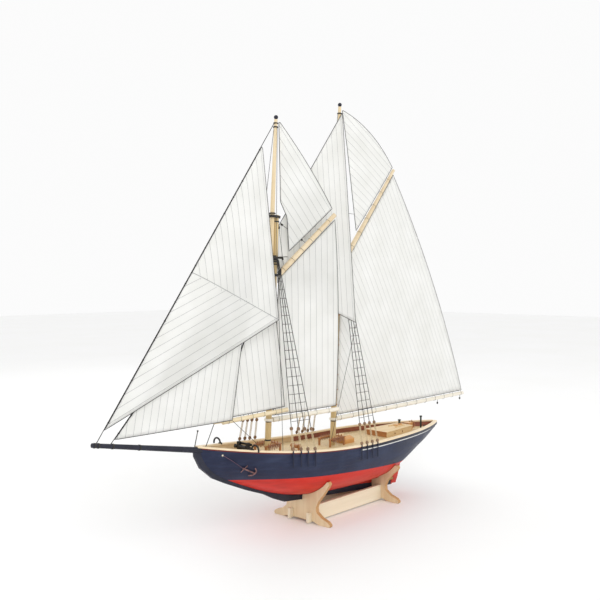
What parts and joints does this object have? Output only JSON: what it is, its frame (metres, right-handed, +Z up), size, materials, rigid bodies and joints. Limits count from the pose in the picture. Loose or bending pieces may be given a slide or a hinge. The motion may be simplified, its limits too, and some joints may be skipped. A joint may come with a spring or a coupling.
{
  "type": "model sailing ship",
  "caption": "Display model of a gaff schooner with planked hull, pole topmasts, full set of cloth sails, thread rigging and a slotted wooden stand.",
  "frame": {"origin": "on the table under the middle of the model", "axes": "+X aft, +Y starboard, +Z up; the ship points along -X"},
  "size_m": [0.7399, 0.122, 0.5751],
  "materials": {
    "black_cord": "black waxed thread",
    "black_paint": "satin black paint",
    "brass": "dull brass",
    "brown_wood": "orange-brown varnished wood",
    "dark_metal": "blackened castings",
    "deck_wood": "pale varnished planks",
    "navy_paint": "brushed navy paint on planked wood",
    "ply": "birch ply with browned cut edges",
    "red_paint": "satin red paint on planked wood",
    "sailcloth": "off-white cotton with sewn seams",
    "spar_wood": "pale varnished dowel",
    "tan_cord": "tan thread"
  },
  "bodies": {
    "hull": {"anchor_cables": "black_cord", "anchors": "dark_metal", "belaying_pins": "brown_wood", "bottom_planking": "red_paint", "bowsprit": "black_paint", "bulkheads": "ply", "cabin_trunk": "deck_wood", "catheads": "dark_metal", "chainplates": "dark_metal", "cradle_aft": "ply", "cradle_fore": "ply", "crosstrees": "dark_metal", "deadeyes": "dark_metal", "deadwood": "red_paint", "deck": "deck_wood", "deck_winch": "brown_wood", "dory": "brown_wood", "fife_rails": "brown_wood", "fisherman_staysail": "sailcloth", "fore_shrouds": "black_cord", "fore_topmast": "spar_wood", "foremast": "spar_wood", "jib": "sailcloth", "jib_topsail": "sailcloth", "keel_and_stem": "black_paint", "keel_spine": "ply", "lanyards": "tan_cord", "main_shrouds": "black_cord", "main_topmast": "spar_wood", "mainmast": "spar_wood", "mast_trucks": "black_paint", "quarter_mouldings": "black_paint", "rail_cap": "deck_wood", "rudder_gudgeons": "brass", "sheets": "black_cord", "skylight": "brown_wood", "stand_boards": "ply", "stays": "black_cord", "stern_fittings": "dark_metal", "topside_planking": "navy_paint", "wheel_box": "brown_wood", "windlass_bitts": "dark_metal"},
    "rudder": {"rudder": "red_paint"},
    "fore_rig": {"fore_boom": "spar_wood", "fore_gaff": "spar_wood", "foresail": "sailcloth", "fore_gaff_topsail": "sailcloth", "fore_mast_hoops": "spar_wood", "fore_halyards": "black_cord"},
    "main_rig": {"main_boom": "spar_wood", "main_gaff": "spar_wood", "mainsail": "sailcloth", "main_gaff_topsail": "sailcloth", "main_mast_hoops": "spar_wood", "main_halyards": "black_cord"},
    "jumbo_rig": {"jumbo_boom": "spar_wood", "jumbo_staysail": "sailcloth"},
    "wheel": {"steering_wheel": "brown_wood"},
    "windlass": {"windlass_barrel": "dark_metal"},
    "companion": {"companion_slide": "brown_wood"}
  },
  "joints": [
    {"name": "rudder_hinge", "type": "hinge", "parent": "hull", "child": "rudder", "pos_m": [0.16, 0, 0.011], "axis": [0.2285, 0, 0.9735], "range_deg": [-32, 32]},
    {"name": "fore_rig_swing", "type": "hinge", "parent": "hull", "child": "fore_rig", "pos_m": [-0.109, 0, 0.11], "axis": [0.0549, 0, 0.9985], "range_deg": [-22, 2]},
    {"name": "main_rig_swing", "type": "hinge", "parent": "hull", "child": "main_rig", "pos_m": [0.021, 0, 0.092], "axis": [0.0466, 0, 0.9989], "range_deg": [-40, 40]},
    {"name": "jumbo_swing", "type": "hinge", "parent": "hull", "child": "jumbo_rig", "pos_m": [-0.213, 0, 0.1276], "axis": [0.4573, 0, 0.8893], "range_deg": [-8, 1.3]},
    {"name": "wheel_turn", "type": "hinge", "parent": "hull", "child": "wheel", "pos_m": [0.216, 0, 0.0957], "axis": [1, 0, 0], "continuous": true},
    {"name": "windlass_turn", "type": "hinge", "parent": "hull", "child": "windlass", "pos_m": [-0.152, 0, 0.11594], "axis": [0, 1, 0], "continuous": true},
    {"name": "companion_slide", "type": "slide", "parent": "hull", "child": "companion", "axis": [-1, 0, 0], "range_m": [0, 0.009]}
  ]
}
